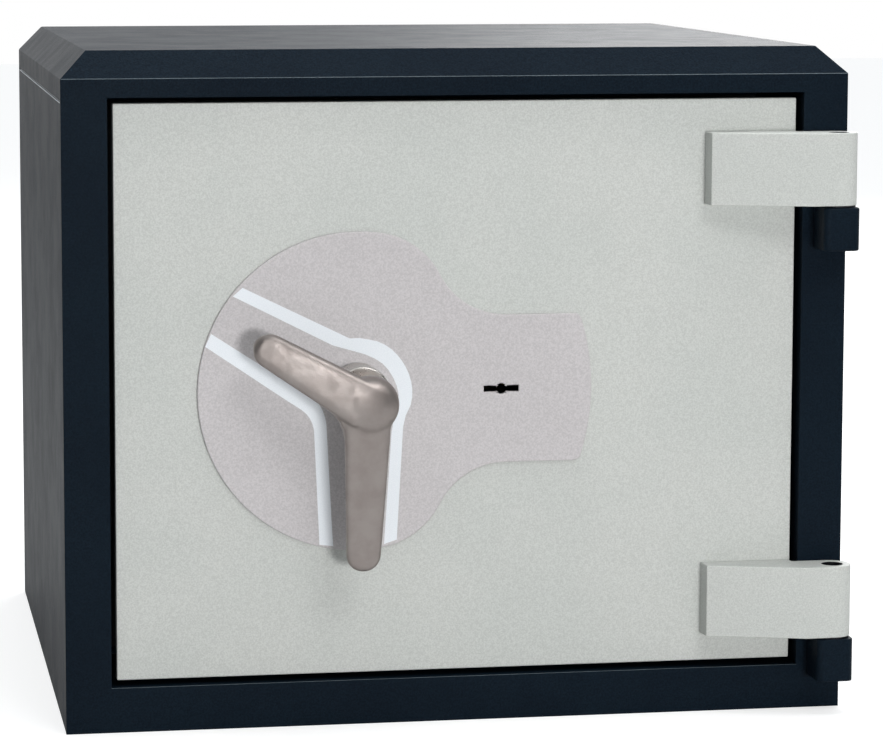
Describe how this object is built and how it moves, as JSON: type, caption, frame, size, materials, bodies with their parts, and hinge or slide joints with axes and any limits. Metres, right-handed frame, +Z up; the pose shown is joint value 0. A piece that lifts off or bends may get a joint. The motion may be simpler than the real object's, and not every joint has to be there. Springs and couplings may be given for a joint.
{
  "type": "key-locking fire safe",
  "caption": "Free-standing steel fire safe with a hinged front door, a two-armed turning lever, a double-bit key lock and bolts that enter the frame on several sides.",
  "frame": {"origin": "centre of the underside, at floor level", "axes": "+X to the right seen from the front, +Y from the front to the back, +Z up"},
  "size_m": [0.447, 0.4455, 0.38],
  "materials": {
    "body_paint": "fine-textured anthracite powder coat",
    "door_paint": "light grey fine-textured powder coat",
    "inner_paint": "smooth grey stove enamel",
    "cover_paint": "warm grey satin lacquer",
    "satin_nickel": "cast and satin nickel plated",
    "bright_steel": "bright drawn steel bar",
    "zinc_steel": "zinc plated pressed steel",
    "hard_steel": "hardened, oil blackened",
    "brass": "plain turned brass",
    "seal": "extruded black rubber",
    "fill": "cast fire-resisting concrete"
  },
  "bodies": {
    "cabinet": {"outer_casing": "body_paint", "top_cover": "body_paint", "back_panel": "body_paint", "front_frame": "body_paint", "inner_liner": "inner_paint", "barrier_fill": "fill", "anchor_sleeves": "zinc_steel", "shelf": "inner_paint", "shelf_brackets": "inner_paint", "door_seal": "seal", "lower_hinge_knuckle": "body_paint", "upper_hinge_knuckle": "body_paint", "lower_hinge_pin": "bright_steel", "upper_hinge_pin": "bright_steel", "hinge_washers": "hard_steel"},
    "door": {"door_plate": "door_paint", "door_pan": "inner_paint", "door_barrier": "fill", "hardplate": "hard_steel", "mechanism_plate": "zinc_steel", "upper_hinge_arm": "door_paint", "lower_hinge_arm": "door_paint", "hinge_bushes": "brass", "escutcheon": "cover_paint", "key_guide": "zinc_steel", "handle_boss": "satin_nickel", "spindle_bushes": "brass", "boltwork_pillars": "zinc_steel", "rear_cover": "inner_paint", "rear_cover_screws": "zinc_steel", "lateral_guides": "zinc_steel", "upright_guides": "zinc_steel", "fixed_hinge_bolts": "bright_steel", "lock_case": "zinc_steel", "lever_post": "zinc_steel", "lock_cover": "zinc_steel", "lock_screws": "zinc_steel"},
    "handle": {"handle_lever": "satin_nickel", "spindle": "bright_steel", "crank_disc": "zinc_steel", "crank_pins": "zinc_steel", "spindle_circlip": "zinc_steel"},
    "side_bolts": {"lateral_bolts": "bright_steel", "lateral_bolt_bar": "zinc_steel", "lateral_bolt_screws": "zinc_steel"},
    "top_bolt_body": {"top_bolt": "bright_steel", "top_bolt_link": "zinc_steel", "top_bolt_screw": "zinc_steel"},
    "bottom_bolt_body": {"bottom_bolt": "bright_steel", "bottom_bolt_link": "zinc_steel", "bottom_bolt_screw": "zinc_steel"},
    "lock_bolt_body": {"lock_bolt": "bright_steel"},
    "key_drum_body": {"key_drum": "brass", "key_drum_pin": "zinc_steel"},
    "lever_pack": {"lock_levers": "brass"}
  },
  "joints": [
    {"name": "door_swing", "type": "hinge", "parent": "cabinet", "child": "door", "pos_m": [0.214, -0.2115, 0], "axis": [0, 0, 1], "range_deg": [0, 180]},
    {"name": "handle_turn", "type": "hinge", "parent": "door", "child": "handle", "pos_m": [-0.058, 0, 0.189], "axis": [0, 1, 0], "range_deg": [0, 60]},
    {"name": "side_bolt_slide", "type": "slide", "parent": "door", "child": "side_bolts", "axis": [-1, 0, 0], "range_m": [0, 0.022]},
    {"name": "top_bolt_slide", "type": "slide", "parent": "door", "child": "top_bolt_body", "axis": [0, 0, 1], "range_m": [0, 0.022]},
    {"name": "bottom_bolt_slide", "type": "slide", "parent": "door", "child": "bottom_bolt_body", "axis": [0, 0, -1], "range_m": [0, 0.022]},
    {"name": "key_turn", "type": "hinge", "parent": "door", "child": "key_drum_body", "pos_m": [0.024, 0, 0.189], "axis": [0, -1, 0], "range_deg": [0, 90]},
    {"name": "lock_bolt_slide", "type": "slide", "parent": "door", "child": "lock_bolt_body", "axis": [0, 0, -1], "range_m": [0, 0.01]},
    {"name": "lever_lift", "type": "hinge", "parent": "door", "child": "lever_pack", "pos_m": [0.0485, 0, 0.231], "axis": [0, -1, 0], "range_deg": [0, 5]}
  ],
  "couplings": [
    {"joint": "side_bolt_slide", "follows": "handle_turn", "m_per_rad": 0.021008},
    {"joint": "top_bolt_slide", "follows": "handle_turn", "m_per_rad": 0.021008},
    {"joint": "bottom_bolt_slide", "follows": "handle_turn", "m_per_rad": 0.021008},
    {"joint": "lock_bolt_slide", "follows": "key_turn", "m_per_rad": 0.006366},
    {"joint": "lever_lift", "follows": "key_turn", "ratio": 0.0555}
  ]
}
